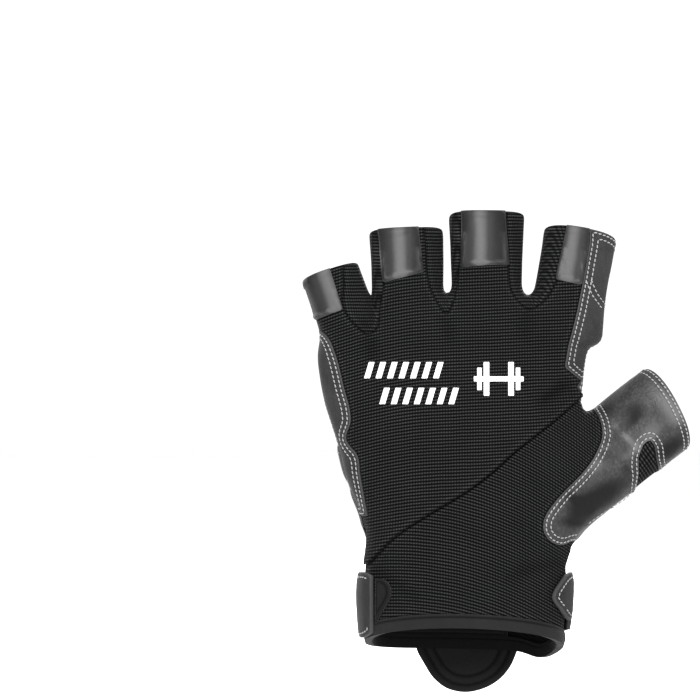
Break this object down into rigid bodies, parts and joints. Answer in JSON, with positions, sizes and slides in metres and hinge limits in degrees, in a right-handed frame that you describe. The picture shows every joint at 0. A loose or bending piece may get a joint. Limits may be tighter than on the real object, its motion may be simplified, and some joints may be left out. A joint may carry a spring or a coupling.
{
  "type": "fitness glove",
  "caption": "Half-finger training glove for the left hand, with suede palm, grip bars, ribbed stretch back, leather thumb and wrist strap.",
  "frame": {"origin": "middle of the wrist opening, where the wrist goes in", "axes": "+Z from the wrist towards the fingertips, +X towards the thumb, +Y the palm side, -Y the back of the hand"},
  "size_m": [0.1397, 0.0418, 0.1753],
  "materials": {
    "suede": "matt suede",
    "glossy_leather": "semi-gloss",
    "ribbed_fabric": "ribbed knit",
    "soft_binding": "brushed",
    "silicone": "satin"
  },
  "bodies": {
    "root": {"palm_panel": "suede", "heel_pad": "suede", "thumb_shell": "glossy_leather", "wrist_strap": "glossy_leather", "finger_patch_little": "glossy_leather", "finger_patch_ring": "glossy_leather", "finger_patch_middle": "glossy_leather", "finger_patch_index": "glossy_leather", "back_upper_panel": "ribbed_fabric", "back_lower_panel": "ribbed_fabric", "thumb_gusset": "ribbed_fabric", "fourchette_little_ring": "ribbed_fabric", "fourchette_ring_middle": "ribbed_fabric", "fourchette_middle_index": "ribbed_fabric", "cuff_binding": "soft_binding", "wrist_tongue": "soft_binding", "tongue_pad": "soft_binding", "strap_hook_tab": "soft_binding", "finger_inlay_little": "silicone", "finger_inlay_ring": "silicone", "finger_inlay_middle": "silicone", "finger_inlay_index": "silicone", "grip_bar_01": "silicone", "grip_bar_02": "silicone", "grip_bar_03": "silicone", "grip_bar_04": "silicone", "grip_bar_05": "silicone", "grip_bar_06": "silicone", "grip_bar_07": "silicone", "grip_bar_08": "silicone", "grip_bar_09": "silicone", "grip_bar_10": "silicone", "grip_bar_11": "silicone", "grip_bar_12": "silicone", "grip_bar_13": "silicone", "grip_bar_14": "silicone", "grip_bar_15": "silicone"}
  },
  "joints": []
}
